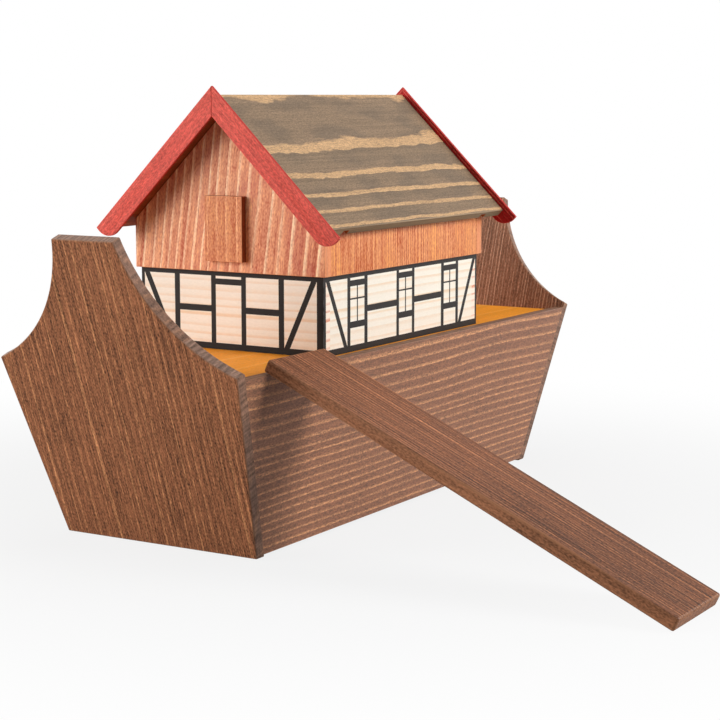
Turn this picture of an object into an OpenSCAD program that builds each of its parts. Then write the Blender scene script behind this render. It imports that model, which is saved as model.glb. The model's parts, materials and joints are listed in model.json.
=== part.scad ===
// Toy Noah's ark: a board-built boat with raked ends and flared sides, a half-timbered
// deck house with a jettied upper storey, a lift-off gable roof and a loose gangplank.
// Millimetres, +Z up. The origin is the centre of the hull's underside.
// The bow points to -X and the gangplank leans on the port rail, on the -Y side.

/* [Hull] */
// Length along the ground, outside the bow and stern boards
base_len = 244; // [200:1:300]
// Width along the ground, outside the side boards
base_w = 97.6; // [85:0.2:130]
// Height of the rail, the side boards' top edge
rail_h = 77; // [60:1:100]
// Outward lean of the bow and stern boards, degrees from upright
rake = 19.7; // [8:0.1:26]
// Outward lean of the side boards, degrees from upright
flare = 7.9; // [3:0.1:14]
// Thickness of the side boards
side_t = 5; // [3:0.5:8]
// Gap between the side boards and the ground
side_lift = 0.9; // [0:0.1:3]
// Thickness of the floor board
floor_t = 5; // [3:0.5:8]

/* [Bow and stern boards] */
// Thickness of the bow and stern boards
end_t = 5; // [3:0.5:8]
// Length up the outer face, from the ground to the head
end_len = 138; // [120:1:165]
// Stand of the shoulders above the rail
shoulder_stand = 1; // [0:0.1:4]
// Width of the head
head_w = 30.4; // [20:0.2:44]
// Radius of the hollow shoulders between rail and head
shoulder_r = 74; // [60:1:110]

/* [Deck] */
// Drop of the deck below the rail
deck_drop = 1.4; // [1:0.1:6]
// Thickness of the deck board
deck_t = 5; // [3:0.5:8]
// Ledge of deck left inside the house walls, round the hatchway
hatchway_ledge = 10; // [5:0.5:20]

/* [House, lower storey] */
// Length of the house, outside its front and rear walls
house_len = 138.8; // [110:0.2:180]
// Clear deck between the house and the side boards
walkway = 6.3; // [3:0.1:12]
// Height of the half-timbered storey
storey_h = 34.2; // [25:0.2:50]
// Thickness of its walls
wall_t = 5; // [3:0.5:8]

/* [House, upper storey] */
// Overhang of the upper storey all round
jetty = 1.7; // [0.5:0.1:2.5]
// Height of its walls up to the eaves
upper_h = 21.3; // [15:0.1:35]
// Thickness of the gables and upper side walls
upper_t = 5; // [4:0.5:7]
// Width of the loft hatch on the front gable
hatch_w = 19.5; // [12:0.5:30]
// Height of the loft hatch
hatch_h = 28.3; // [16:0.1:32]
// Thickness of the loft hatch
hatch_t = 3; // [1.5:0.1:4]
// Height of the loft hatch above the gable's lower edge
hatch_sill = 4.6; // [2:0.1:8]

/* [Roof] */
// Slope of the roof, degrees
pitch = 44.4; // [35:0.1:52]
// Thickness of the roof boards
roof_t = 4; // [3:0.1:6]
// Reach of the roof past the side walls, level
eaves = 6.7; // [4:0.1:12]
// Reach of the roof boards past each gable
verge = 9.1; // [5:0.1:14]
// Width of the grooves under the roof, and thickness of the formers let into them
groove_w = 4.5; // [3:0.1:6]
// Depth of those grooves
groove_d = 2.2; // [1:0.1:2.5]
// Play between each former and the gable in front of it
former_end_play = 1.4; // [0.5:0.1:3]
// Play between the formers and the upper side walls
former_side_play = 1.5; // [0.5:0.1:4]

/* [Bargeboards] */
// Width of the bargeboards
barge_w = 9.2; // [8:0.1:14]
// Thickness of the bargeboards
barge_t = 1.5; // [1:0.1:5]
// Stand of the bargeboards above the roof's surface
barge_rise = 2.7; // [1:0.1:4.5]
// Reach of the bargeboards past the eaves, along the slope
barge_tail = 7.1; // [3:0.1:12]
// Radius of their rounded tails
tail_r = 7.4; // [3:0.1:8]

/* [Gangplank] */
// Length of the gangplank
plank_len = 190; // [150:1:260]
// Width of the gangplank
plank_w = 40.2; // [25:0.1:60]
// Thickness of the gangplank
plank_t = 5.5; // [3:0.5:8]
// Distance along the rail from the bow board to the gangplank
plank_in = 15.4; // [2:0.1:60]
// Reach of the gangplank's upper end past the rail's outer edge
plank_lap = 2.5; // [1:0.1:12]
// Turn of the loose gangplank away from square to the rail, degrees
plank_skew = 1; // [0:0.1:4]

/* [Fit] */
// Gap under the pieces that lift off
seat_gap = 0.2; // [0.1:0.05:0.5]

/* [Hidden] */
$fn = 96;
// Overrun of cutting shapes past the faces that they cut
over = 1;
// Longer than any piece, for the prisms that are trimmed to length
span = 2 * (base_len + end_len);

// Boards that lean measure more through, level
side_in = side_t / cos(flare);
end_in = end_t / cos(rake);

// Outside half width and half length of the hull at height z
function half_w(z) = base_w / 2 + z * tan(flare);
function half_len(z) = base_len / 2 + z * tan(rake);

// Bow and stern boards: the tips of the shoulders, which stand a little above the rail
shoulder_z = rail_h + shoulder_stand;
shoulder_v = shoulder_z / cos(rake);
shoulder_y = half_w(shoulder_z);
shoulder_chord = [shoulder_y - head_w / 2, end_len - shoulder_v];
shoulder_sag = sqrt(pow(shoulder_r, 2) - pow(norm(shoulder_chord) / 2, 2));
shoulder_c = [(shoulder_y + head_w / 2) / 2, (shoulder_v + end_len) / 2]
    + shoulder_sag * [shoulder_chord.y, shoulder_chord.x] / norm(shoulder_chord);

// Heights and half sizes of deck and house
deck_z = rail_h - deck_drop;
house_x = house_len / 2;
house_y = half_w(deck_z) - side_in - walkway;
upper_z = deck_z + storey_h;
upper_x = house_x + jetty;
upper_y = house_y + jetty;
hatchway_x = house_x - wall_t - hatchway_ledge;
hatchway_y = house_y - wall_t - hatchway_ledge;

// Roof: heights of the house's sloping top, of the roof's underside and of its top at y
wall_top = upper_z + upper_h;
function seat_z(y) = wall_top + (upper_y - y) * tan(pitch);
function under_z(y) = seat_z(y) + seat_gap / cos(pitch);
function top_z(y) = under_z(y) + roof_t / cos(pitch);
eave_y = upper_y + eaves;
roof_x = upper_x + verge;
former_x = upper_x - upper_t - former_end_play - groove_w / 2;
former_y = upper_y - upper_t - former_side_play;
groove_rise = groove_d / cos(pitch);

// Gangplank: tilt at which it lies on the rail and its foot stands on the ground,
// and place along the rail of its bow edge, which the skew leaves lowest
rail_y = half_w(rail_h);
plank_reach = plank_len - plank_lap;
plank_tilt = asin(rail_h / norm([plank_reach, seat_gap])) + atan(seat_gap / plank_reach);
plank_x = -half_len(rail_h) + end_in + plank_in;

// Stains and paint
hull_brown = "#6e4834";
side_brown = "#7d5846";
amber = "#e09a40";
cream = "#f8e6d0";
orange = "#dc8a5a";
hatch_brown = "#c87d55";
roof_grey = "#91806c";
red = "#d85a50";

// Cross-section, drawn with Y across and Z up, pushed along X from x0 to x1
module along_x(x0, x1) {
    translate([x0, 0, 0]) rotate([90, 0, 90]) linear_extrude(x1 - x0) children();
}

// Prism whose sides follow the flare between two heights, moved in by inset
module flared(z0, z1, inset) {
    y0 = half_w(z0) - inset;
    y1 = half_w(z1) - inset;
    along_x(-span / 2, span / 2) polygon([[-y0, z0], [y0, z0], [y1, z1], [-y1, z1]]);
}

// Prism whose ends follow the rake between two heights, moved in by inset
module raked(z0, z1, inset) {
    x0 = half_len(z0) - inset;
    x1 = half_len(z1) - inset;
    rotate([90, 0, 0]) linear_extrude(span, center = true)
        polygon([[-x0, z0], [x0, z0], [x1, z1], [-x1, z1]]);
}

// Flat board that fills the hull between its sides and ends
module hull_filler(z0, z1) {
    intersection() {
        flared(z0, z1, side_in);
        raked(z0, z1, end_in);
    }
}

module hull_floor() {
    color(hull_brown) hull_filler(0, floor_t);
}

// Outline of a bow or stern board on its own face, Y across and up the board
module end_outline() {
    wide = shoulder_y + over;
    difference() {
        polygon([
            [-wide, -end_t], [wide, -end_t], [wide, shoulder_v],
            [head_w / 2, end_len], [-head_w / 2, end_len], [-wide, shoulder_v]
        ]);
        for (side = [-1, 1])
            translate([side * shoulder_c.x, shoulder_c.y]) circle(r = shoulder_r);
    }
}

// Bow board: leans out over the ground, its edges trimmed to the flare and its foot to the ground
module bow_board() {
    color(hull_brown) intersection() {
        translate([-base_len / 2, 0, 0]) rotate([0, -rake, 0]) along_x(0, end_t) end_outline();
        flared(0, end_len + end_t, 0);
    }
}

module stern_board() {
    mirror([1, 0, 0]) bow_board();
}

// Side board, with its ends cut to lie against the bow and stern boards
module side_board(side) {
    low = half_w(side_lift);
    color(side_brown) intersection() {
        along_x(-span / 2, span / 2) polygon([
            [side * low, side_lift], [side * rail_y, rail_h],
            [side * (rail_y - side_in), rail_h], [side * (low - side_in), side_lift]
        ]);
        raked(0, rail_h, end_in);
    }
}

// Deck, open inside the house so that the hold can be reached
module deck() {
    color(amber) difference() {
        hull_filler(deck_z - deck_t, deck_z);
        translate([-hatchway_x, -hatchway_y, deck_z - deck_t - over])
            cube([2 * hatchway_x, 2 * hatchway_y, deck_t + 2 * over]);
    }
}

// Front or rear wall of the lower storey, as wide as the house
module end_wall(end) {
    color(cream) translate([end * (house_x - wall_t / 2), 0, deck_z + storey_h / 2])
        cube([wall_t, 2 * house_y, storey_h], center = true);
}

// Side wall of the lower storey, fitted between the front and rear walls
module side_wall(side) {
    color(cream) translate([0, side * (house_y - wall_t / 2), deck_z + storey_h / 2])
        cube([house_len - 2 * wall_t, wall_t, storey_h], center = true);
}

// Gable board, from the jetty to the roof
module gable(end) {
    inner = upper_x - upper_t;
    color(orange) along_x(end > 0 ? inner : -upper_x, end > 0 ? upper_x : -inner) polygon([
        [-upper_y, upper_z], [upper_y, upper_z], [upper_y, wall_top],
        [0, seat_z(0)], [-upper_y, wall_top]
    ]);
}

// Upper side wall between the gables, its top bevelled to the roof's slope
module upper_wall(side) {
    inner = upper_y - upper_t;
    color(orange) along_x(upper_t - upper_x, upper_x - upper_t) polygon([
        [side * upper_y, upper_z], [side * upper_y, wall_top],
        [side * inner, seat_z(inner)], [side * inner, upper_z]
    ]);
}

// Loft hatch, a thin panel glued to the front gable
module loft_hatch() {
    color(hatch_brown) translate([-upper_x - hatch_t, -hatch_w / 2, upper_z + hatch_sill])
        cube([hatch_t, hatch_w, hatch_h]);
}

// Roof board, mitred at the ridge and cut square at the eaves, grooved under for the formers
module roof_board(side) {
    color(roof_grey) difference() {
        along_x(-roof_x, roof_x) polygon([
            [0, under_z(0)], [0, top_z(0)], [side * eave_y, top_z(eave_y)],
            [side * (eave_y - roof_t * sin(pitch)), top_z(eave_y) - roof_t * cos(pitch)]
        ]);
        for (end = [-1, 1])
            along_x(end * former_x - groove_w / 2, end * former_x + groove_w / 2) polygon([
                [0, under_z(0) - over], [0, under_z(0) + groove_rise],
                [side * eave_y, under_z(eave_y) + groove_rise], [side * eave_y, under_z(eave_y) - over]
            ]);
    }
}

// Triangular former glued into the grooves: it ties the roof boards and keeps the roof in place
module roof_former(end) {
    foot = under_z(former_y) + groove_rise;
    color(roof_grey)
        along_x(end * former_x - groove_w / 2, end * former_x + groove_w / 2)
        polygon([[-former_y, foot], [former_y, foot], [0, under_z(0) + groove_rise]]);
}

// Bargeboard drawn along the roof's slope: X runs down from the ridge, Y stands square to the roof
module barge_outline() {
    tail = eave_y / cos(pitch) + barge_tail;
    low = barge_rise - barge_w;
    difference() {
        translate([-barge_w, low]) square([tail + barge_w, barge_w]);
        // the corner that is sawn away below the rounded tail
        difference() {
            translate([tail - tail_r, low - over]) square([tail_r + over, tail_r + over]);
            translate([tail - tail_r, low + tail_r]) circle(r = tail_r);
        }
    }
}

// Bargeboard over the roof boards' ends, mitred at the apex
module bargeboard(end, side) {
    reach = eave_y + barge_tail + barge_w;
    color(red) mirror([0, side > 0 ? 0 : 1, 0])
        along_x(end > 0 ? roof_x : -roof_x - barge_t, end > 0 ? roof_x + barge_t : -roof_x)
        intersection() {
            translate([0, top_z(0)]) rotate(-pitch) barge_outline();
            square([reach, top_z(0) + barge_w]);
        }
}

// Plain board that leans from the ground to the port rail
module gangplank() {
    color(hull_brown) translate([plank_x, -rail_y, rail_h]) rotate([plank_tilt, 0, -plank_skew])
        translate([0, -plank_reach, seat_gap]) cube([plank_w, plank_len, plank_t]);
}

hull_floor();
bow_board();
stern_board();
side_board(-1);  // port_side_board
side_board(1);  // starboard_side_board
deck();
end_wall(-1);  // front_wall
end_wall(1);  // rear_wall
side_wall(-1);  // port_wall
side_wall(1);  // starboard_wall
gable(-1);  // front_gable
gable(1);  // rear_gable
upper_wall(-1);  // port_upper_wall
upper_wall(1);  // starboard_upper_wall
loft_hatch();
roof_board(-1);  // port_roof_board
roof_board(1);  // starboard_roof_board
roof_former(-1);  // front_roof_former
roof_former(1);  // rear_roof_former
bargeboard(-1, -1);  // front_port_bargeboard
bargeboard(-1, 1);  // front_starboard_bargeboard
bargeboard(1, -1);  // rear_port_bargeboard
bargeboard(1, 1);  // rear_starboard_bargeboard
gangplank();
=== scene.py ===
import json
import math
from dataclasses import dataclass, replace

import bmesh
import bpy
import numpy as np
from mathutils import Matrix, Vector
from mathutils.bvhtree import BVHTree


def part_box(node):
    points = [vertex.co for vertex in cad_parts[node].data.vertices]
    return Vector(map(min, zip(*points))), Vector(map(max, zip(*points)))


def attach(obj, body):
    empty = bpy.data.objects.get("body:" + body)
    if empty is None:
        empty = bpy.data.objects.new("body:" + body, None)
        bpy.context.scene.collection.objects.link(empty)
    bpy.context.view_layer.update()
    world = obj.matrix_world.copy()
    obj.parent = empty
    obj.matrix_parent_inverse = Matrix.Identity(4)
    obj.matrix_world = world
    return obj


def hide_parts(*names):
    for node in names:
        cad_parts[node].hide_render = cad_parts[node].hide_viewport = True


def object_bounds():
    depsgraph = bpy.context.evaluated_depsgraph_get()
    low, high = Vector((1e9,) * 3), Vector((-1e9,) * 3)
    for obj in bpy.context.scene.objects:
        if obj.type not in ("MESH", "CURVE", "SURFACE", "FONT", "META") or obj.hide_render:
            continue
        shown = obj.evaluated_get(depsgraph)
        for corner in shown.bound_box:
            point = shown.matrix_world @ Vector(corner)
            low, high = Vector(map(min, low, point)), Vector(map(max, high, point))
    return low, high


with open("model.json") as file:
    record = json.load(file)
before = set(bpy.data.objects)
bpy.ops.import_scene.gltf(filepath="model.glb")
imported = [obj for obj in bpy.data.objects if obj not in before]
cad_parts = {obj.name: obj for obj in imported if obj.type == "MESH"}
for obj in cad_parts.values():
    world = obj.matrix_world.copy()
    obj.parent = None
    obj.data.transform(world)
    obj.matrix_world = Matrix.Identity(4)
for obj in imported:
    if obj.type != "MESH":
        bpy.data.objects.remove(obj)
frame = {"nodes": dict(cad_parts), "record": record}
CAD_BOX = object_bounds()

# Units: the scene is in metres, and most sizes are written as millimetres times MM.
# Sizes of the grain, which only the materials use, are plain millimetres.
MM = 0.001
PER_MM = 1000.0

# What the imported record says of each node
BODIES = frame["record"]["behaviour"]["bodies"]
BODY_OF = {node: body for body, nodes in BODIES.items() for node in nodes}

# The boards' outer sides face away from the middle of the deck
HOUSE_MIDDLE = Vector((0, 0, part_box("deck")[1][2]))
UP = Vector((0, 0, 1))

# Sanded edges
ARRIS = 0.45 * MM
PRINT_ARRIS = 0.25 * MM
THIN_ARRIS = 0.3 * MM
ROUND_ARRIS = 0.9 * MM
ARRIS_STEPS = 2
ARRIS_PROFILE = 0.5
SHARP_TURN = math.radians(20)
FLAT_TURN = math.radians(0.1)
SAME_PLACE = 0.001 * MM
JOINT_GAP = 0.05 * MM

# Share of a face's normal along a direction, from 0 to 1
BROAD_SIDE = 0.7  # above this, it faces that way
EDGE_SIDE = 0.5  # below this, along the way through a board, it is on an edge
PRINTED_SIDE = 0.4  # above this, it belongs to that printed side of the house

# Grain attributes on every board
GRAIN = "grain"
CUT = "cut_edge"
WORN = "worn_arris"

# Where along the trunk the boards were cut: a step for each, and more for two kinds, in millimetres
SEED_STEP = 310.0
ROOF_SHIFT = 120.0
PLANK_SHIFT = 280.0

# Grain that doesn't run square: degrees on the gables, and a direction down the gangplank
GABLE_LEAN = -6.5
PLANK_GRAIN = (0, -1, -0.4)

# Noises in the wood: length along the grain and width across it, in millimetres
FIBRE_SIZE = (4.0, 0.5)
FLECK_SIZE = (2.4, 0.5)
SPECK_SIZE = (1.1, 0.55)
STREAK_LENGTH = 70.0
BEND_WIDTH = 45.0
RAGGED_WIDTH = 2.5
SAW_STEP = 1.3
SAW_LENGTH = 30.0
RING_CHANGE = 0.43  # how fast the width of the rings changes, per ring

# A noise swings about its middle. Each pair is where an effect starts and where it is complete.
NOISE_MIDDLE = 0.5
PATCH_RANGE = (0.42, 0.62)
PORE_RANGE = (0.58, 0.72)
RUB_RANGE = (0.35, 0.65)
FIBRE_RANGE = (0.2, 0.8)

# Finish of the wood
DARKEST = 0.2  # lowest value that a stain gets
CUT_STRENGTH = 0.85  # how far sawn edges take their own colour
RUBBED = (0.15, 0.8)  # least and most rubbing of an arris
SMOOTHER = 0.07  # how far the fibres vary the roughness, down and up
ROUGHER = 0.09
LINE_HEIGHT = 0.3  # how far the hard lines stand up, beside the fibres
BUMP_DEPTH = 0.2 * MM
HAZE_SPREAD = 0.55

# Colour sockets of a Mix node: two in, one out
MIX_FIRST = 6
MIX_SECOND = 7
MIX_RESULT = 2

# Hue of a stain: the setting that leaves it alone, and how far a rich stain turns
SAME_HUE = 0.5
HUE_TURN = 0.11

# Print: sizes of its noises in millimetres, then their ranges and the finish
WEAVE_SIZE = (3.0, 0.5)
SMUDGE_SIZE = (14.0, 5.0)
INK_UNEVEN = 0.9
SMUDGE_RANGE = (0.4, 0.62)
SMUDGED = (0.1, 0.9)
BARE_WEAVE = (0.7, 0.78)
BARE_SMUDGE = (0.55, 0.7)
INK_ROUGHNESS = (0.45, 0.65)
INK_GLOSS = 1.2
INK_RELIEF = 0.12

# Printed half-timbering: heights above the foot of the wall
BAND_LOW = 2.8 * MM
PANEL_TOP = 10.3 * MM
SILL_TOP = 13.1 * MM
RAIL = (16.3 * MM, 19.1 * MM)
CROSSBAR = (22.6 * MM, 23.3 * MM)
LINTEL = (28.4 * MM, 31.0 * MM)
BAND_HIGH = 32.1 * MM
MULLION = 0.9 * MM

# Printed posts: inner and outer edge from the middle of the wall
END_POSTS = ((6.7 * MM, 9.2 * MM), (26.0 * MM, 28.8 * MM), (45.3 * MM, 50.0 * MM))
SIDE_POSTS = ((5.9 * MM, 8.2 * MM), (33.5 * MM, 36.2 * MM),
              (47.9 * MM, 50.4 * MM), (67.7 * MM, 70.0 * MM))
BRACE_WIDTH = 2.9 * MM
FRONT_SHIFT = 0.8 * MM

# Which sides of the house each wall shows a printed face or end on
PRINTED = {"front_wall": ("front", "port", "starboard"), "rear_wall": ("rear", "port", "starboard"),
           "port_wall": ("port",), "starboard_wall": ("starboard",)}

# Camera: where the photograph was taken from, and its angle of view
CAMERA_PLACE = Vector((-0.7201, -0.4576, 0.1850))
CAMERA_LOOK = Vector((0.8480, 0.5107, -0.1419))
CAMERA_LENS = 92.07
CAMERA_SENSOR = 36.0

# Floor and world. The floor's whiteness grows between two distances from its middle, in metres.
FLOOR_RADIUS = 6.0
FLOOR_SEGMENTS = 64
FLOOR_DROP = 0.3 * MM
FLOOR_GREY = (0.45, 0.45, 0.45, 1)
WHITE = (1, 1, 1, 1)
WHITE_REACH = (0.1, 0.4)
WHITENESS = (0.84, 1.0)
WHITE_LIGHT = 1.0
WORLD_LIGHT = 0.06

# Soft boxes: place and size in metres, and power in watts
LAMPS = {
    "left_box": ((-1.0, 0.95, 0.42), 1.0, 23),
    "right_box": ((0.4, -1.95, 1.05), 1.0, 37),
    "rim_box": ((1.1, -0.75, 0.35), 0.6, 5.5),
    "top_box": ((0.3, 0.1, 1.8), 1.2, 11),
}
LAMP_AIM = Vector((0, 0, 0.09))


def srgb(red, green, blue):
    """A screen colour, each part 0 to 255, as the linear colour that shaders take."""
    shares = [value / 255 for value in (red, green, blue)]
    linear = [s / 12.92 if s <= 0.04045 else ((s + 0.055) / 1.055) ** 2.4 for s in shares]
    return (*linear, 1.0)


HAZE = srgb(255, 208, 190)
BROWN_PORE = srgb(66, 38, 26)
INK = srgb(42, 38, 36)
WORN_INK = srgb(96, 94, 94)
BARE_WOOD = srgb(235, 228, 220)


@dataclass
class Wood:
    """One kind of stained board. Lengths are millimetres, and shares are parts of a growth ring."""

    early: tuple  # soft wood, just after a line
    middle: tuple  # soft wood, before the next line
    late: tuple  # hard wood, the line itself
    cut: tuple  # sawn edges and end grain
    dash: tuple  # growth rings on sawn edges
    worn: tuple  # rubbed arrises
    pore: tuple  # short dark flecks
    ring: float  # width of a growth ring
    pith: tuple  # the trunk's core from the middle of the board: across, through
    late_share: float = 0.12  # share of a ring that is a line
    rise: float = 0.2  # how softly a line starts
    fall: float = 0.08  # how softly it ends
    uneven: float = 1.2  # how much the rings differ in width
    faintest: float = 0.3  # strength of the faintest line
    broken: float = 1.0  # how much the fibres break a line up
    bend: float = 3.0  # slow bends of the rings, and their length
    bend_length: float = 120.0
    ragged: float = 0.3  # ragged edges of the rings, and their length
    ragged_length: float = 9.0
    streak: float = 0.3  # long streaks of lighter and darker stain, and their width
    streak_width: float = 1.3
    fibre: float = 0.6  # short fibres
    speckle: float = 0.6  # fine speckle
    fleck: float = 0.3  # strength of the pores
    cloud: float = 0.3  # broad clouds of uneven stain, and their length and width
    cloud_size: tuple = (38.0, 15.0)
    patch: tuple = (0.0, 0.0, 0.0, 1.0)  # colour of the soft wood in those clouds, and its strength
    patched: float = 0.0
    even: float = 0.6  # how much less the stain varies on sawn edges
    sawn: float = 0.0  # strength of the saw marks across those edges
    rich: float = 0.0  # how much the colour turns where the stain is lighter or darker
    gloss: float = 1.2  # refractive index of the finish, which is shinier the higher it is
    haze: float = 0.0  # pale haze of the fibres where the board is seen at a slant
    roughness: float = 0.5
    relief: float = 0.2


class Shader:
    """The nodes of a material or a world, with short calls that add a node and give its output."""

    def __init__(self, owner):
        self.owner = owner
        owner.use_nodes = True
        self.tree = owner.node_tree
        self.tree.nodes.clear()

    def feed(self, socket, value):
        if isinstance(value, bpy.types.NodeSocket):
            self.tree.links.new(value, socket)
        else:
            socket.default_value = value

    def node(self, kind, inputs=None, **settings):
        made = self.tree.nodes.new("ShaderNode" + kind)
        for key, value in settings.items():
            setattr(made, key, value)
        for key, value in (inputs or {}).items():
            self.feed(made.inputs[key], value)
        return made

    def math(self, operation, *values, clamp=False):
        made = self.node("Math", dict(enumerate(values)), operation=operation, use_clamp=clamp)
        return made.outputs[0]

    def vector(self, x, y, z):
        return self.node("CombineXYZ", {0: x, 1: y, 2: z}).outputs[0]

    def attribute(self, name, output="Fac"):
        return self.node("Attribute", attribute_name=name).outputs[output]

    def noise(self, place, detail):
        made = self.node("TexNoise", {"Vector": place, "Scale": 1.0, "Detail": detail})
        return made.outputs["Fac"]

    def swing(self, noise, size):
        """The noise made to swing about zero, over about the size given."""
        centred = self.math("SUBTRACT", noise, NOISE_MIDDLE)
        return self.math("MULTIPLY", centred, size)

    def step(self, value, low, high, start=0.0, end=1.0):
        """A smooth change from start to end, as the value goes from low to high."""
        inputs = {"Value": value, 1: low, 2: high, 3: start, 4: end}
        return self.node("MapRange", inputs, interpolation_type="SMOOTHSTEP").outputs[0]

    def mix(self, amount, first, second):
        made = self.node("Mix", data_type="RGBA", blend_type="MIX")
        self.feed(made.inputs["Factor"], amount)
        self.feed(made.inputs[MIX_FIRST], first)
        self.feed(made.inputs[MIX_SECOND], second)
        return made.outputs[MIX_RESULT]

    def brighten(self, colour, value, rich=0.0):
        """Lighter or darker. A rich stain is yellower where light, and redder and deeper where dark."""
        saturation = self.math("MAXIMUM", self.math("MULTIPLY_ADD", value, -rich, 1 + rich), 1.0)
        turn = rich * HUE_TURN
        hue = self.math("MULTIPLY_ADD", value, turn, SAME_HUE - turn)
        inputs = {"Color": colour, "Value": value, "Saturation": saturation, "Hue": hue}
        return self.node("HueSaturation", inputs).outputs["Color"]

    def show(self, shader, output="OutputMaterial"):
        """Makes a shader the surface of the material or world, which it gives back."""
        end = self.node(output)
        self.tree.links.new(shader.outputs[0], end.inputs["Surface"])
        return self.owner

    def surface(self, colour, gloss, haze, roughness, height, relief):
        bump = self.node("Bump", {"Height": height, "Strength": relief, "Distance": BUMP_DEPTH})
        inputs = {"Base Color": colour, "IOR": gloss, "Roughness": roughness, "Sheen Weight": haze,
                  "Sheen Tint": HAZE, "Sheen Roughness": HAZE_SPREAD, "Normal": bump.outputs["Normal"]}
        return self.show(self.node("BsdfPrincipled", inputs))


def grain_parts(shader):
    """Along, across and through the board, in millimetres."""
    parts = shader.node("SeparateXYZ", {0: shader.attribute(GRAIN, "Vector")})
    return parts.outputs["X"], parts.outputs["Y"], parts.outputs["Z"]


def stretched(shader, grain, along, across):
    """Coordinates for a noise whose patches are about that many millimetres long and wide."""
    lengths = (along, across, across)
    return shader.vector(*[shader.math("DIVIDE", part, length) for part, length in zip(grain, lengths)])


def ring_turns(shader, grain, wood):
    """How many growth rings lie between the trunk's core and this point."""
    across = shader.math("SUBTRACT", grain[1], wood.pith[0])
    through = shader.math("SUBTRACT", grain[2], wood.pith[1])
    reach = shader.math("SQRT", shader.math("ADD", shader.math("MULTIPLY", across, across),
                                            shader.math("MULTIPLY", through, through)))
    bend = shader.noise(stretched(shader, grain, wood.bend_length, BEND_WIDTH), detail=1.0)
    ragged = shader.noise(stretched(shader, grain, wood.ragged_length, RAGGED_WIDTH), detail=3.0)
    for noise, size in ((bend, wood.bend), (ragged, wood.ragged)):
        reach = shader.math("ADD", reach, shader.swing(noise, size))
    turns = shader.math("DIVIDE", reach, wood.ring)
    place = shader.vector(shader.math("MULTIPLY", turns, RING_CHANGE), 0.0, 0.0)
    return shader.math("ADD", turns, shader.swing(shader.noise(place, detail=1.0), wood.uneven))


def ring_colour(shader, turns, fibre, cloud, wood):
    """The colour across each ring, soft wood and then a hard line with breaks, and how strong that is."""
    part = shader.math("FRACT", turns)
    number = shader.math("FLOOR", turns)
    start = 1 - wood.late_share
    soft = shader.mix(shader.step(part, 0.0, start), wood.early, wood.middle)
    soft = shader.mix(shader.step(cloud, *PATCH_RANGE, 0.0, wood.patched), soft, wood.patch)
    line = shader.math("MULTIPLY", shader.step(part, start - wood.rise, start),
                       shader.step(part, 1 - wood.fall, 1.0, 1.0, 0.0))
    chance = shader.node("TexWhiteNoise", {"W": number}, noise_dimensions="1D").outputs["Value"]
    strength = shader.step(chance, 0.0, 1.0, wood.faintest, 1.0)
    strength = shader.math("ADD", strength, shader.swing(fibre, wood.broken))
    amount = shader.math("MULTIPLY", line, strength, clamp=True)
    return shader.mix(amount, soft, wood.late), amount


def stain_value(shader, grain, noises, wood):
    """How much lighter or darker the stain took: in streaks, fibres, broad clouds and fine specks."""
    speckle = shader.noise(stretched(shader, grain, *SPECK_SIZE), detail=0.0)
    sizes = (wood.streak, wood.fibre, wood.cloud, wood.speckle)
    value = 1.0
    for noise, size in zip((*noises, speckle), sizes):
        value = shader.math("ADD", shader.swing(noise, size), value)
    return shader.math("MAXIMUM", value, DARKEST)


def saw_marks(shader, grain, strength):
    """Fine lines that run through the board's thickness, lighter and darker."""
    sizes = (SAW_STEP, SAW_STEP, SAW_LENGTH)
    place = shader.vector(*[shader.math("DIVIDE", part, size) for part, size in zip(grain, sizes)])
    return shader.swing(shader.noise(place, detail=1.0), strength)


def edge_value(shader, grain, value, cut, wood):
    """The stain's value, made more even on sawn edges, with the marks that the saw left there."""
    evened = shader.math("MULTIPLY", cut, wood.even)
    value = shader.math("MULTIPLY_ADD", shader.math("SUBTRACT", 1.0, value), evened, value)
    if wood.sawn:
        value = shader.math("MULTIPLY_ADD", saw_marks(shader, grain, wood.sawn), cut, value)
    return value


def wood_material(name, wood):
    """Stained wood with growth rings, pores, sawn edges and rubbed arrises."""
    shader = Shader(bpy.data.materials.new(name))
    grain = grain_parts(shader)
    streak = shader.noise(stretched(shader, grain, STREAK_LENGTH, wood.streak_width), detail=3.0)
    fibre = shader.noise(stretched(shader, grain, *FIBRE_SIZE), detail=2.0)
    cloud = shader.noise(stretched(shader, grain, *wood.cloud_size), detail=2.0)
    fleck = shader.noise(stretched(shader, grain, *FLECK_SIZE), detail=1.0)
    colour, line = ring_colour(shader, ring_turns(shader, grain, wood), fibre, cloud, wood)
    colour = shader.mix(shader.step(fleck, *PORE_RANGE, 0.0, wood.fleck), colour, wood.pore)

    cut = shader.attribute(CUT)
    sawn = shader.mix(line, wood.cut, wood.dash)
    colour = shader.mix(shader.math("MULTIPLY", cut, CUT_STRENGTH), colour, sawn)
    value = stain_value(shader, grain, (streak, fibre, cloud), wood)
    colour = shader.brighten(colour, edge_value(shader, grain, value, cut, wood), wood.rich)
    rubbed = shader.math("MULTIPLY", shader.attribute(WORN), shader.step(streak, *RUB_RANGE, *RUBBED))
    colour = shader.mix(rubbed, colour, wood.worn)

    roughness = shader.step(fibre, *FIBRE_RANGE, wood.roughness - SMOOTHER, wood.roughness + ROUGHER)
    height = shader.math("MULTIPLY_ADD", line, LINE_HEIGHT, fibre)
    return shader.surface(colour, wood.gloss, wood.haze, roughness, height, wood.relief)


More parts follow.
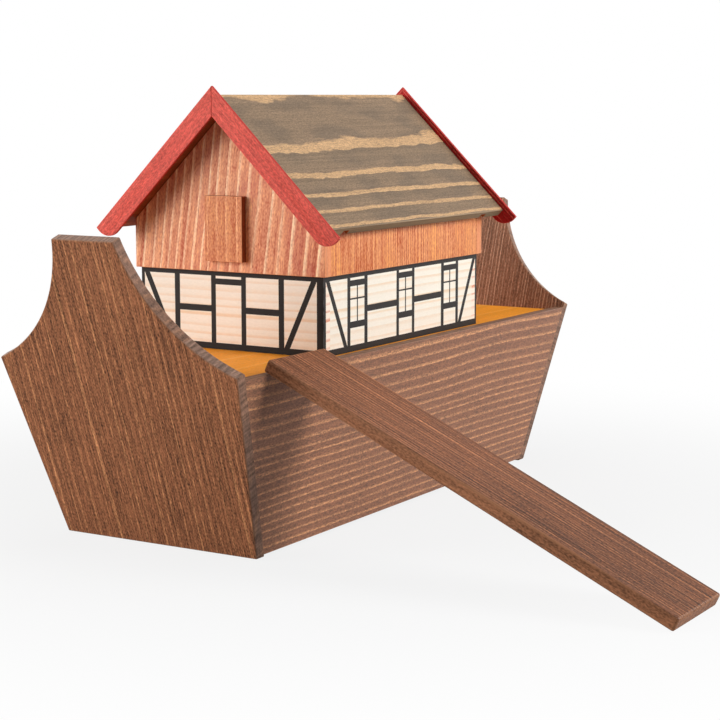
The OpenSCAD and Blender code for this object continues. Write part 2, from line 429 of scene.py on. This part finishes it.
def ink_material(name):
    """Black print on wood: a little uneven, rubbed grey along the arrises, with a few bare flecks."""
    shader = Shader(bpy.data.materials.new(name))
    grain = grain_parts(shader)
    weave = shader.noise(stretched(shader, grain, *WEAVE_SIZE), detail=2.0)
    smudge = shader.noise(stretched(shader, grain, *SMUDGE_SIZE), detail=2.0)
    colour = shader.brighten(INK, shader.math("ADD", shader.swing(weave, INK_UNEVEN), 1.0))
    rubbed = shader.math("MULTIPLY", shader.attribute(WORN), shader.step(smudge, *SMUDGE_RANGE, *SMUDGED))
    colour = shader.mix(rubbed, colour, WORN_INK)
    flecks = shader.math("MULTIPLY", shader.step(weave, *BARE_WEAVE), shader.step(smudge, *BARE_SMUDGE))
    colour = shader.mix(flecks, colour, BARE_WOOD)
    roughness = shader.step(weave, *FIBRE_RANGE, *INK_ROUGHNESS)
    return shader.surface(colour, INK_GLOSS, 0.0, roughness, weave, INK_RELIEF)


def hull_woods():
    """The hull's dark boards, their edges and their inner sides, which are lighter with painted light,
    then the gangplank and the amber deck.
    """
    side = Wood(srgb(124, 81, 56), srgb(130, 85, 59), srgb(199, 141, 96), ring=3.1, pith=(66, -44),
                cut=srgb(106, 78, 62), dash=srgb(130, 94, 72), worn=srgb(130, 94, 72), pore=BROWN_PORE,
                late_share=0.16, rise=0.28, fall=0.12, uneven=0.8, faintest=0.65, broken=0.6,
                bend=3.5, bend_length=130, streak=0.6, fibre=1.2, speckle=1.6, fleck=0.3, haze=0.6)
    return {
        "hull_end": Wood(
            srgb(136, 86, 58), srgb(145, 92, 62), srgb(179, 122, 82), ring=3.4, pith=(-190, 45),
            cut=srgb(128, 100, 85), dash=srgb(146, 110, 88), worn=srgb(150, 112, 88), pore=BROWN_PORE,
            late_share=0.14, rise=0.3, fall=0.12, faintest=0.25, broken=1.8, bend=5.0, bend_length=170,
            streak=2.1, streak_width=0.7, fibre=1.7, speckle=1.7, fleck=0.25, cloud=0.5, sawn=1.8),
        # Inner sides: finer grain, and a lighter colour that is painted light, for faces the lamps hardly
        # reach
        "hull_inner_painted_light": Wood(
            srgb(146, 104, 81), srgb(152, 108, 84), srgb(206, 166, 138), ring=1.8, pith=(-190, 45),
            cut=srgb(138, 112, 98), dash=srgb(94, 72, 60), worn=srgb(158, 122, 98), pore=BROWN_PORE,
            late_share=0.16, rise=0.3, faintest=0.3, broken=1.2, bend=5.0, bend_length=170,
            streak=1.0, fibre=1.0, speckle=1.0, fleck=0.5, sawn=2.0),
        "hull_side": side,
        "hull_edge": replace(side, haze=0.0),
        "plank": Wood(
            srgb(111, 69, 48), srgb(118, 74, 51), srgb(170, 115, 80), ring=2.1, pith=(-120, 30),
            cut=srgb(148, 98, 68), dash=srgb(112, 66, 42), worn=srgb(150, 104, 74), pore=BROWN_PORE,
            rise=0.3, faintest=0.3, bend=3.0, bend_length=200, streak=2.4, streak_width=1.3, fibre=1.3,
            speckle=1.6, fleck=0.3, even=0.3, cloud=1.2, cloud_size=(130.0, 60.0)),
        "deck": Wood(
            srgb(237, 152, 45), srgb(238, 154, 49), srgb(244, 168, 76), ring=6.0, pith=(-40, 90),
            cut=srgb(218, 140, 66), dash=srgb(206, 118, 40), worn=srgb(240, 170, 90),
            pore=srgb(206, 118, 32), faintest=0.0, streak=0.2, fibre=0.3, speckle=0.3, fleck=0.12,
            cloud=0.3, bend=8.0, gloss=1.15),
    }


def house_woods():
    """The pale printed walls, the orange upper storey and its hatch."""
    orange = dict(cut=srgb(228, 146, 98), dash=srgb(206, 122, 80), worn=srgb(234, 160, 116),
                  pore=srgb(176, 86, 56), rich=0.5)
    return {
        "pale": Wood(
            srgb(246, 237, 223), srgb(245, 234, 218), srgb(238, 211, 180), ring=3.7, pith=(-160, 5),
            cut=srgb(250, 232, 214), dash=srgb(224, 140, 108), worn=srgb(250, 234, 216),
            pore=srgb(238, 202, 172), late_share=0.18, rise=0.3, fall=0.1, faintest=0.35, streak=0.03,
            fibre=0.06, speckle=0.08, fleck=0.1, cloud=0.03, relief=0.08),
        "gable": Wood(
            srgb(220, 149, 115), srgb(242, 173, 132), srgb(255, 218, 180), ring=4.1, pith=(-80, 60),
            late_share=0.08, rise=0.28, fall=0.03, uneven=0.9, faintest=0.6, broken=0.7, bend=6.0,
            bend_length=90, ragged=0.5, streak=0.8, fibre=0.6, speckle=0.5, fleck=0.12, cloud=0.5,
            patch=srgb(203, 122, 98), patched=0.8, **orange),
        "upper": Wood(
            srgb(225, 149, 102), srgb(221, 143, 95), srgb(190, 106, 68), ring=1.9, pith=(-150, 60),
            late_share=0.1, rise=0.2, faintest=0.3, bend=3.0, bend_length=60, streak=1.3,
            streak_width=0.7, fibre=0.6, speckle=0.5, fleck=0.12, cloud=0.9,
            patch=srgb(212, 126, 80), patched=0.9, **orange),
        # The hatch's sawn edges are dark brown, partly stain and partly painted shade
        "hatch": Wood(
            srgb(208, 132, 94), srgb(214, 138, 99), srgb(242, 180, 136), ring=4.6, pith=(-90, 40),
            cut=srgb(130, 62, 32), dash=srgb(112, 52, 28), worn=srgb(228, 160, 118),
            pore=srgb(150, 82, 54), late_share=0.1, rise=0.2, faintest=0.6, uneven=0.8, streak=0.6,
            fibre=0.7, speckle=0.6, fleck=0.16, rich=0.5),
    }


def roof_woods():
    """The grey-brown roof, its brown underside, darkened with painted shade, and the red bargeboards,
    whose inner sides are a deeper red of painted shade.
    """
    red = Wood(srgb(212, 90, 79), srgb(216, 94, 82), srgb(224, 104, 90), ring=2.6, pith=(-80, 30),
               cut=srgb(190, 54, 52), dash=srgb(176, 44, 46), worn=srgb(222, 104, 92),
               pore=srgb(166, 52, 50), streak=0.4, fibre=0.6, speckle=0.8, fleck=0.18, cloud=0.4,
               faintest=0.0, gloss=1.15)
    return {
        "roof": Wood(
            srgb(132, 111, 89), srgb(140, 117, 94), srgb(198, 160, 119), ring=2.84, pith=(25.4, -151.1),
            cut=srgb(136, 118, 92), dash=srgb(106, 90, 70), worn=srgb(172, 148, 118),
            pore=srgb(104, 88, 72), late_share=0.21, rise=0.07, fall=0.025, uneven=0.0, faintest=0.85,
            broken=0.8, bend=1.5, bend_length=50, ragged=0.6, ragged_length=10, streak=0.6, fibre=0.8,
            speckle=0.8, fleck=0.25, cloud=0.3, patch=srgb(110, 94, 78), patched=0.7),
        # The underside is orange-brown wood, darkened with painted shade
        "roof_under_painted_shade": Wood(
            srgb(136, 72, 44), srgb(142, 76, 46), srgb(164, 98, 62), ring=3.9, pith=(40.4, -151),
            cut=srgb(190, 110, 62), dash=srgb(160, 88, 50), worn=srgb(190, 120, 76),
            pore=srgb(120, 66, 38)),
        "red": red,
        # The bargeboards' inner sides and upward edges get a deeper red, which is painted shade
        "red_painted_shade": replace(red, early=srgb(184, 40, 40), middle=srgb(188, 44, 42)),
    }


@dataclass
class Board:
    """How a node is finished: its wood, which way the grain runs and how its edges are sanded."""

    wood: str
    grain: tuple
    arris: float = ARRIS
    lean: float = 0.0  # degrees that the grain leans
    under: str = ""  # wood of the inner side, top edge and grooves, where that is different, in some boards with painted light or shade
    seams: bool = False  # whether its joints show as fine grooves
    shift: float = 0.0  # how far along the trunk it was cut, in millimetres


def rough_mesh(node):
    """The node's mesh as few flat faces."""
    mesh = bmesh.new()
    mesh.from_mesh(frame["nodes"][node].data)
    bmesh.ops.remove_doubles(mesh, verts=mesh.verts, dist=SAME_PLACE)
    bmesh.ops.dissolve_limit(mesh, angle_limit=FLAT_TURN, verts=mesh.verts, edges=mesh.edges)
    return mesh


def grain_axes(mesh, hint, lean):
    """Along, across and through the board. Its broadest face gives the way through, outwards."""
    broadest = max(mesh.faces, key=lambda face: face.calc_area())
    through = broadest.normal.copy()
    if through.dot(broadest.calc_center_median() - HOUSE_MIDDLE) < 0:
        through.negate()
    hint = Vector(hint)
    along = (hint - through * hint.dot(through)).normalized()
    across = through.cross(along)
    turned = along * math.cos(lean) + across * math.sin(lean)
    return turned, through.cross(turned), through


def other_boards(node):
    """The surfaces of the other boards of the same body."""
    trees = []
    for other, body in BODY_OF.items():
        if other != node and body == BODY_OF[node]:
            mesh = rough_mesh(other)
            trees.append(BVHTree.FromBMesh(mesh))
            mesh.free()
    return trees


def against(edge, trees):
    """Whether the edge lies against another board, where it stays square."""
    middle = (edge.verts[0].co + edge.verts[1].co) / 2
    return any(tree.find_nearest(middle, JOINT_GAP)[0] is not None for tree in trees)


def sand_arrises(mesh, width, trees):
    """Rounds the sharp edges, except against the boards given, and marks those faces as worn."""
    layer = mesh.faces.layers.float.new(WORN)
    sharp = [edge for edge in mesh.edges
             if edge.calc_face_angle(0.0) > SHARP_TURN and not against(edge, trees)]
    made = bmesh.ops.bevel(mesh, geom=sharp, offset=width, offset_type="OFFSET", segments=ARRIS_STEPS,
                           profile=ARRIS_PROFILE, affect="EDGES", clamp_overlap=True)
    for face in made["faces"]:
        face[layer] = 1.0


def mark_cuts(mesh, through):
    """Marks the sawn edges: the faces that aren't the board's two broad sides."""
    layer = mesh.faces.layers.float.new(CUT)
    for face in mesh.faces:
        face[layer] = 0.0 if abs(face.normal.dot(through)) > BROAD_SIDE else 1.0


def turn_under(mesh, through, low, high):
    """Gives the board's inner side, its top edge and the walls of grooves the second material."""
    for face in mesh.faces:
        middle = face.calc_center_median()
        way = face.normal.dot(through)
        endwise = abs(face.normal.x) > BROAD_SIDE
        grooved = endwise and low[0] + ARRIS < middle.x < high[0] - ARRIS
        if way < -BROAD_SIDE or (abs(way) < EDGE_SIDE and (grooved or face.normal.z > BROAD_SIDE)):
            face.material_index = 1


def write_grain(data, axes, middle, shift):
    """Stores each point's place along, across and through its board."""
    places = np.zeros(len(data.vertices) * 3, np.float32)
    data.vertices.foreach_get("co", places)
    places = (places.reshape(-1, 3) - np.array(middle)) @ np.array(axes).T * PER_MM
    places[:, 0] += shift
    layer = data.attributes.new(GRAIN, "FLOAT_VECTOR", "POINT")
    layer.data.foreach_set("vector", places.astype(np.float32).ravel())


def board_mesh(node, board, seed, printed):
    """The mesh of a node's finished board, with its grain and the print on its printed sides."""
    mesh = rough_mesh(node)
    axes = grain_axes(mesh, board.grain, math.radians(board.lean))
    sand_arrises(mesh, board.arris, [] if board.seams else other_boards(node))
    for side in printed:
        print_timbering(mesh, side)
    mark_cuts(mesh, axes[2])
    low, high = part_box(node)
    if board.under:
        turn_under(mesh, axes[2], low, high)
    data = bpy.data.meshes.new(node + "_board")
    mesh.to_mesh(data)
    mesh.free()
    write_grain(data, axes, (Vector(low) + Vector(high)) / 2, seed * SEED_STEP + board.shift)
    data.polygons.foreach_set("use_smooth", [True] * len(data.polygons))
    data.set_sharp_from_angle(angle=SHARP_TURN)
    return data


def add_board(node, data, materials):
    """Puts the finished board in place of its node."""
    for material in materials:
        data.materials.append(material)
    piece = bpy.data.objects.new(node + "_board", data)
    bpy.context.scene.collection.objects.link(piece)
    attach(piece, BODY_OF[node])
    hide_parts(node)


@dataclass
class PrintSide:
    """One printed face of the house: its outward normal, the way along it, its foot and its bars."""

    normal: Vector
    along: Vector
    foot: float
    bars: list
    shift: float = 0.0  # how far the print sits off the middle of the wall


def upright(inner, outer, low, high):
    """The corners of a bar that stands or lies square."""
    return [(inner, low), (outer, low), (outer, high), (inner, high)]


def brace(top, bottom, low, high):
    """A slanting bar, from beside one post at the top to beside the next at the bottom."""
    inward = math.copysign(BRACE_WIDTH, bottom - top)
    return [(top, high), (top + inward, high), (bottom, low), (bottom - inward, low)]


def common_bars(posts, height):
    """The bands, posts and corner braces that every side of the house has."""
    reach = posts[-1][1]
    bars = [upright(-reach, reach, 0.0, BAND_LOW), upright(-reach, reach, BAND_HIGH, height)]
    for inner, outer in posts:
        bars += [upright(inner, outer, 0.0, height), upright(-outer, -inner, 0.0, height)]
    for way in (1, -1):
        bars.append(brace(way * posts[-1][0], way * posts[-2][1], BAND_LOW, BAND_HIGH))
    return bars


def end_bars(height):
    """Front and rear: a door between two bays with rails."""
    door, inner = END_POSTS[:2]
    bars = common_bars(END_POSTS, height)
    bars.append(upright(-door[0], door[0], *LINTEL))
    for way in (1, -1):
        bars.append(upright(way * door[1], way * inner[0], *RAIL))
    return bars


def window_bars(left, right):
    """A window between two posts: lintel, sill, mullion and crossbar."""
    middle = (left + right) / 2
    return [upright(left, right, *LINTEL), upright(left, right, PANEL_TOP, SILL_TOP),
            upright(left, right, *CROSSBAR),
            upright(middle - MULLION / 2, middle + MULLION / 2, SILL_TOP, LINTEL[0])]


def side_bars(height):
    """Port and starboard: three windows with railed bays between them."""
    middle, inner, outer = SIDE_POSTS[:3]
    bars = common_bars(SIDE_POSTS, height)
    bars += window_bars(-middle[0], middle[0])
    for way in (1, -1):
        bars += window_bars(way * inner[1], way * outer[0])
        bars.append(upright(way * middle[1], way * inner[0], *RAIL))
    return bars


def inside(point, bar):
    """Whether a point lies in a bar, whose corners go round either way."""
    turns = []
    for start, end in zip(bar, bar[1:] + bar[:1]):
        edge = (end[0] - start[0], end[1] - start[1])
        turns.append(edge[0] * (point[1] - start[1]) - edge[1] * (point[0] - start[0]))
    return min(turns) >= 0 or max(turns) <= 0


def faces_of_side(mesh, side):
    return [face for face in mesh.faces if face.normal.dot(side.normal) > PRINTED_SIDE]


def cut_along(mesh, side, start, end):
    """Cuts the side's faces along the line through two points of the print."""
    place = side.along * (start[0] + side.shift) + UP * (side.foot + start[1])
    square = side.along * (end[1] - start[1]) - UP * (end[0] - start[0])
    faces = faces_of_side(mesh, side)
    edges = {edge for face in faces for edge in face.edges}
    verts = {vert for face in faces for vert in face.verts}
    bmesh.ops.bisect_plane(mesh, geom=[*verts, *edges, *faces], plane_co=place, plane_no=square,
                           dist=SAME_PLACE)


def print_timbering(mesh, side):
    """Cuts the outlines of the bars into a wall's face, and gives the bars the ink's material."""
    for bar in side.bars:
        for start, end in zip(bar, bar[1:] + bar[:1]):
            cut_along(mesh, side, start, end)
    for face in faces_of_side(mesh, side):
        middle = face.calc_center_median()
        point = (middle.dot(side.along) - side.shift, middle.z - side.foot)
        if any(inside(point, bar) for bar in side.bars):
            face.material_index = 1
    bmesh.ops.dissolve_limit(mesh, angle_limit=FLAT_TURN, verts=mesh.verts, edges=mesh.edges,
                             delimit={"MATERIAL"})


def print_sides():
    """The four printed faces of the house, by the way that they face."""
    low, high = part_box("front_wall")
    height = high[2] - low[2]
    ways = {"front": ((-1, 0, 0), (0, 1, 0), end_bars), "rear": ((1, 0, 0), (0, 1, 0), end_bars),
            "port": ((0, -1, 0), (1, 0, 0), side_bars), "starboard": ((0, 1, 0), (1, 0, 0), side_bars)}
    shifts = {"front": FRONT_SHIFT}
    return {name: PrintSide(Vector(normal), Vector(along), low[2], bars(height), shifts.get(name, 0.0))
            for name, (normal, along, bars) in ways.items()}


def boards():
    """Every node's finish."""
    up = (0, 0, 1)
    length = (1, 0, 0)
    width = (0, 1, 0)
    sides = {"port": -1, "starboard": 1}
    made = {"hull_floor": Board("hull_side", length), "deck": Board("deck", length, THIN_ARRIS),
            "loft_hatch": Board("hatch", up, THIN_ARRIS),
            "gangplank": Board("plank", PLANK_GRAIN, ROUND_ARRIS, shift=PLANK_SHIFT)}
    for end in ("bow", "stern"):
        # Their inner sides take a lighter copy of the wood, which is painted light
        made[end + "_board"] = Board("hull_end", up, under="hull_inner_painted_light")
    for side, way in sides.items():
        made[side + "_side_board"] = Board("hull_side", length, under="hull_edge")
        made[side + "_wall"] = Board("pale", length, PRINT_ARRIS)
        made[side + "_upper_wall"] = Board("upper", up, THIN_ARRIS)
        # Their undersides take the brown that is darkened with painted shade
        # The grain runs opposite ways on the two roof boards, so that across points up both slopes
        made[side + "_roof_board"] = Board("roof", (-way, 0, 0), THIN_ARRIS, under="roof_under_painted_shade",
                                           shift=ROOF_SHIFT)
    for end in ("front", "rear"):
        made[end + "_wall"] = Board("pale", width, PRINT_ARRIS)
        made[end + "_gable"] = Board("gable", up, THIN_ARRIS, lean=GABLE_LEAN)
        made[end + "_roof_former"] = Board("roof", width, THIN_ARRIS)
        for side, way in sides.items():
            # Their inner sides take the deeper red of painted shade
            made[f"{end}_{side}_bargeboard"] = Board("red", (0, way, -1), THIN_ARRIS, under="red_painted_shade",
                                                     seams=True)
    return made


def build_boards():
    """Makes the materials and every board. Each board's place in the list of names is its seed."""
    kinds = {**hull_woods(), **house_woods(), **roof_woods()}
    woods = {name: wood_material(name, wood) for name, wood in kinds.items()}
    ink = ink_material("ink")
    sides = print_sides()
    for seed, (node, board) in enumerate(sorted(boards().items())):
        printed = [sides[name] for name in PRINTED.get(node, ())]
        materials = [woods[board.wood]]
        if board.under:
            materials.append(woods[board.under])
        if printed:
            materials.append(ink)
        add_board(node, board_mesh(node, board, seed, printed), materials)


def seen_or_reflected(shader):
    """1 for rays that show the surface in the picture, directly, in gloss or through glass."""
    path = shader.node("LightPath").outputs
    seen = shader.math("ADD", path["Is Camera Ray"], path["Is Glossy Ray"])
    return shader.math("ADD", seen, path["Is Transmission Ray"], clamp=True)


def floor_material():
    """White where it is seen, but for a share near the ark that takes its soft shadow."""
    shader = Shader(bpy.data.materials.new("floor"))
    lit = shader.node("BsdfDiffuse", {"Color": FLOOR_GREY})
    white = shader.node("Emission", {"Color": WHITE, "Strength": WHITE_LIGHT})
    place = shader.node("TexCoord").outputs["Object"]
    away = shader.node("VectorMath", {0: place}, operation="LENGTH").outputs["Value"]
    whiteness = shader.step(away, *WHITE_REACH, *WHITENESS)
    glow = shader.math("MULTIPLY", seen_or_reflected(shader), whiteness)
    return shader.show(shader.node("MixShader", {0: glow, 1: lit.outputs[0], 2: white.outputs[0]}))


def add_floor():
    """A wide white floor, just clear of the ark's underside."""
    mesh = bmesh.new()
    bmesh.ops.create_circle(mesh, cap_ends=True, radius=FLOOR_RADIUS, segments=FLOOR_SEGMENTS)
    data = bpy.data.meshes.new("floor")
    mesh.to_mesh(data)
    mesh.free()
    data.materials.append(floor_material())
    floor = bpy.data.objects.new("floor", data)
    floor.location.z = CAD_BOX[0][2] - FLOOR_DROP
    bpy.context.scene.collection.objects.link(floor)


def add_world():
    """White where it is seen, and a plain level of light all round."""
    shader = Shader(bpy.data.worlds.new("studio"))
    strength = shader.step(seen_or_reflected(shader), 0.0, 1.0, WORLD_LIGHT, WHITE_LIGHT)
    background = shader.node("Background", {"Color": WHITE, "Strength": strength})
    bpy.context.scene.world = shader.show(background, "OutputWorld")


def add_lamp(name, place, size, power):
    """A soft box aimed at the middle of the ark."""
    lamp = bpy.data.lights.new(name, "AREA")
    lamp.shape = "SQUARE"
    lamp.size = size
    lamp.energy = power
    holder = bpy.data.objects.new(name, lamp)
    holder.location = place
    aim = LAMP_AIM - holder.location
    holder.rotation_euler = aim.to_track_quat("-Z", "Y").to_euler()
    holder.visible_camera = False
    bpy.context.scene.collection.objects.link(holder)


def add_camera():
    camera = bpy.data.cameras.new("camera")
    camera.lens = CAMERA_LENS
    camera.sensor_width = CAMERA_SENSOR
    holder = bpy.data.objects.new("camera", camera)
    holder.location = CAMERA_PLACE
    holder.rotation_euler = CAMERA_LOOK.to_track_quat("-Z", "Y").to_euler()
    bpy.context.scene.collection.objects.link(holder)
    bpy.context.scene.camera = holder


def add_studio():
    add_camera()
    add_floor()
    add_world()
    for name, (place, size, power) in LAMPS.items():
        add_lamp(name, place, size, power)
    bpy.context.scene.view_settings.view_transform = "Standard"


build_boards()
add_studio()
